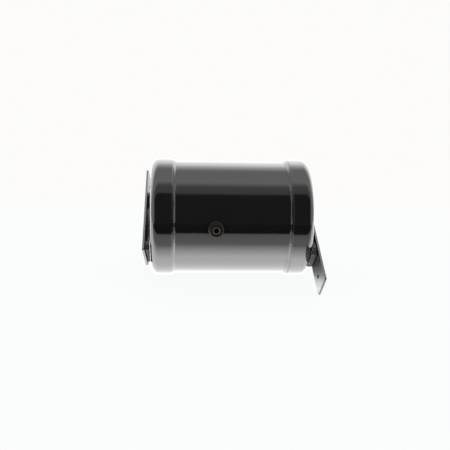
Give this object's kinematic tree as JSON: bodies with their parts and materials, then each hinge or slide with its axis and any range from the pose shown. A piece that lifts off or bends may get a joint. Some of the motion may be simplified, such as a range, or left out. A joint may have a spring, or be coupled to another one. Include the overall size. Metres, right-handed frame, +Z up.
{
  "type": "hydraulic reservoir",
  "caption": "Gloss black welded steel cylinder tank lying on its side, with dished heads, a plugged port and a flat mounting bar on each end.",
  "frame": {"origin": "the middle of the tank's cylinder axis, which is within 3 mm of the centroid", "axes": "+X along the tank's axis towards the head with the long bar, -Y out of the front port, +Z up as the tank lies on a floor"},
  "size_m": [0.3884, 0.4264, 0.264],
  "materials": {
    "body": "gloss black powder coat",
    "plug_steel": "black phosphated steel, worn at the socket's rim",
    "seal": "black nitrile rubber",
    "inner_steel": "bare steel with a film of oil"
  },
  "bodies": {
    "tank": {"shell": "body", "left_head": "body", "right_head": "body", "left_girth_weld": "body", "right_girth_weld": "body", "shell_seam_weld": "body", "front_port_coupling": "body", "front_port_weld": "body", "rear_port_coupling": "body", "rear_port_weld": "body", "right_mount_bar": "body", "left_mount_bar": "body", "right_bar_front_weld": "body", "right_bar_back_weld": "body", "left_bar_front_weld": "body", "left_bar_back_weld": "body", "left_baffle": "inner_steel", "right_baffle": "inner_steel", "suction_tube": "inner_steel", "suction_strainer": "inner_steel"},
    "front_seal": {"front_port_o_ring": "seal"},
    "front_plug": {"front_port_plug": "plug_steel"},
    "rear_seal": {"rear_port_o_ring": "seal"},
    "rear_plug": {"rear_port_plug": "plug_steel"}
  },
  "joints": [
    {"name": "front_plug_travel", "type": "slide", "parent": "tank", "child": "front_seal", "axis": [0, -1, 0], "range_m": [0, 0.0128]},
    {"name": "front_plug_turn", "type": "hinge", "parent": "front_seal", "child": "front_plug", "pos_m": [-0.0358, -0.13, 0], "axis": [0, -1, 0], "range_deg": [0, 2520]},
    {"name": "rear_plug_travel", "type": "slide", "parent": "tank", "child": "rear_seal", "axis": [0, 1, 0], "range_m": [0, 0.0128]},
    {"name": "rear_plug_turn", "type": "hinge", "parent": "rear_seal", "child": "rear_plug", "pos_m": [0.063, 0.13, 0], "axis": [0, 1, 0], "range_deg": [0, 2520]}
  ],
  "couplings": [
    {"joint": "front_plug_travel", "follows": "front_plug_turn", "m_per_rad": 0.00028871},
    {"joint": "rear_plug_travel", "follows": "rear_plug_turn", "m_per_rad": 0.00028871}
  ]
}
